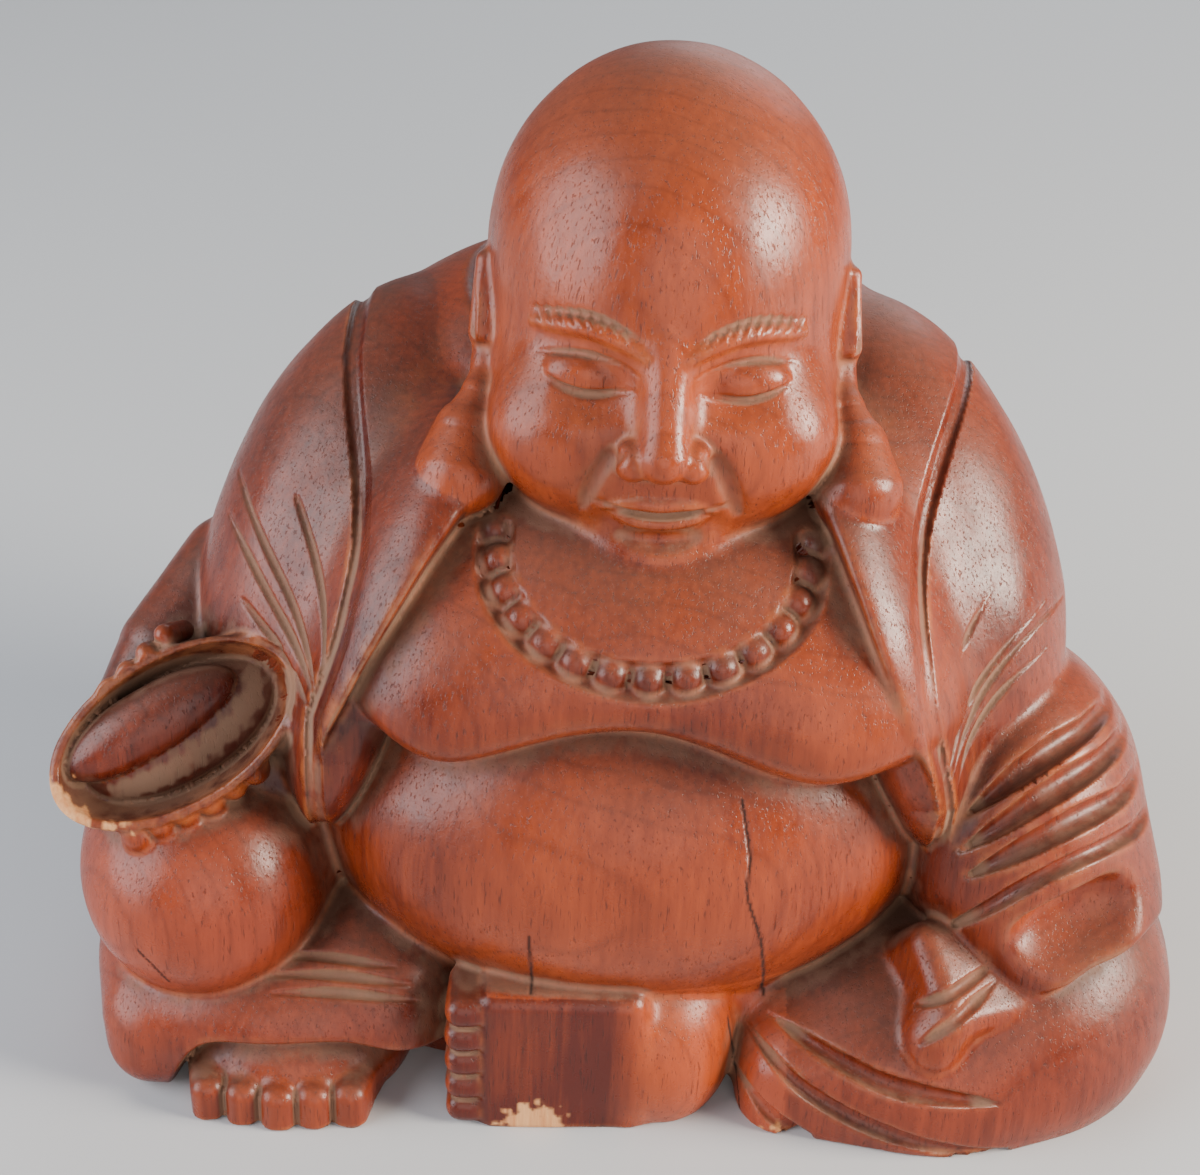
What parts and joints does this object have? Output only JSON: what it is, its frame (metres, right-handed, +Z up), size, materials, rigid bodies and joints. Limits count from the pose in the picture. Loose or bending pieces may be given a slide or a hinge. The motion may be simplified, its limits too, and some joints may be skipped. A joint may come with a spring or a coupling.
{
  "type": "seated buddha statue",
  "caption": "Carved hardwood figure of a seated laughing buddha with robe, bead necklace and ingot, on a flat base.",
  "frame": {"origin": "middle of the statue's bounding box, on the flat underside", "axes": "+X to the figure's left (the viewer's right), -Y towards the viewer in front of the figure, +Z up"},
  "size_m": [0.2045, 0.1221, 0.1837],
  "materials": {
    "wood_skin": "worn clear varnish",
    "wood_robe": "worn clear varnish",
    "wood_beads": "worn clear varnish"
  },
  "bodies": {
    "root": {"head": "wood_skin", "right_ear": "wood_skin", "left_ear": "wood_skin", "neck": "wood_skin", "chest": "wood_skin", "belly": "wood_skin", "necklace": "wood_beads", "robe_back": "wood_robe", "right_lapel": "wood_robe", "left_lapel": "wood_robe", "right_sleeve": "wood_robe", "left_sleeve": "wood_robe", "right_cuff": "wood_robe", "left_cuff": "wood_robe", "ingot": "wood_robe", "right_hand": "wood_skin", "left_hand": "wood_skin", "raised_knee": "wood_robe", "right_hem": "wood_robe", "right_foot": "wood_skin", "right_toes": "wood_skin", "left_lap": "wood_robe", "left_foot": "wood_skin", "left_toes": "wood_skin", "seat": "wood_robe"}
  },
  "joints": []
}
